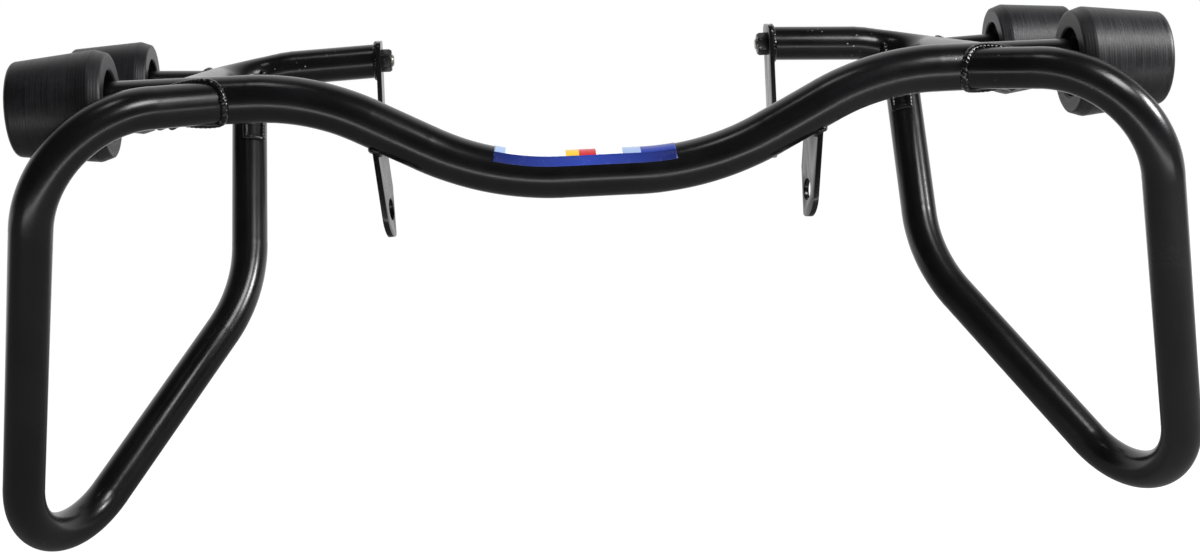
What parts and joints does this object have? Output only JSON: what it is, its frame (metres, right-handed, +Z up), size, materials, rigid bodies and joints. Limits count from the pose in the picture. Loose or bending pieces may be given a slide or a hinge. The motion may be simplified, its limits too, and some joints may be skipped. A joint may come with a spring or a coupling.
{
  "type": "motorcycle crash bars",
  "caption": "Welded tube crash bars for a motorcycle, with a dipped cross tube, a side loop and bolt-on slider pucks each side, tabs and rear plates.",
  "frame": {"origin": "the middle of the level line through the cross tube's two ends", "axes": "+X across the machine toward the right end as the picture shows it, +Y from the cross tube back toward the rear plates, +Z up"},
  "size_m": [0.6676, 0.319, 0.285],
  "materials": {
    "black_paint": "gloss",
    "weld_paint": "gloss",
    "nylon": "satin",
    "zinc": "satin",
    "label_film": "gloss"
  },
  "bodies": {
    "root": {"cross_tube": "black_paint", "loop_tube_left": "black_paint", "loop_tube_right": "black_paint", "rear_rail_left": "black_paint", "rear_rail_right": "black_paint", "rear_stub_left": "black_paint", "rear_stub_right": "black_paint", "mount_plate_left": "black_paint", "mount_plate_right": "black_paint", "frame_tab_left": "black_paint", "frame_tab_right": "black_paint", "front_slider_left": "nylon", "front_slider_right": "nylon", "rear_slider_left": "nylon", "rear_slider_right": "nylon", "front_bush_left": "zinc", "front_bush_right": "zinc", "rear_bush_left": "zinc", "rear_bush_right": "zinc", "front_washer_left": "zinc", "front_washer_right": "zinc", "rear_washer_left": "zinc", "rear_washer_right": "zinc", "front_bolt_left": "zinc", "front_bolt_right": "zinc", "rear_bolt_left": "zinc", "rear_bolt_right": "zinc", "plate_bolt_left": "zinc", "plate_bolt_right": "zinc", "plate_nut_left": "zinc", "plate_nut_right": "zinc", "saddle_weld_left": "weld_paint", "saddle_weld_right": "weld_paint", "rail_weld_left": "weld_paint", "rail_weld_right": "weld_paint", "leg_weld_left": "weld_paint", "leg_weld_right": "weld_paint", "stub_weld_left": "weld_paint", "stub_weld_right": "weld_paint", "plate_weld_left": "weld_paint", "plate_weld_right": "weld_paint", "tab_weld_left": "weld_paint", "tab_weld_right": "weld_paint", "label": "label_film"}
  },
  "joints": []
}
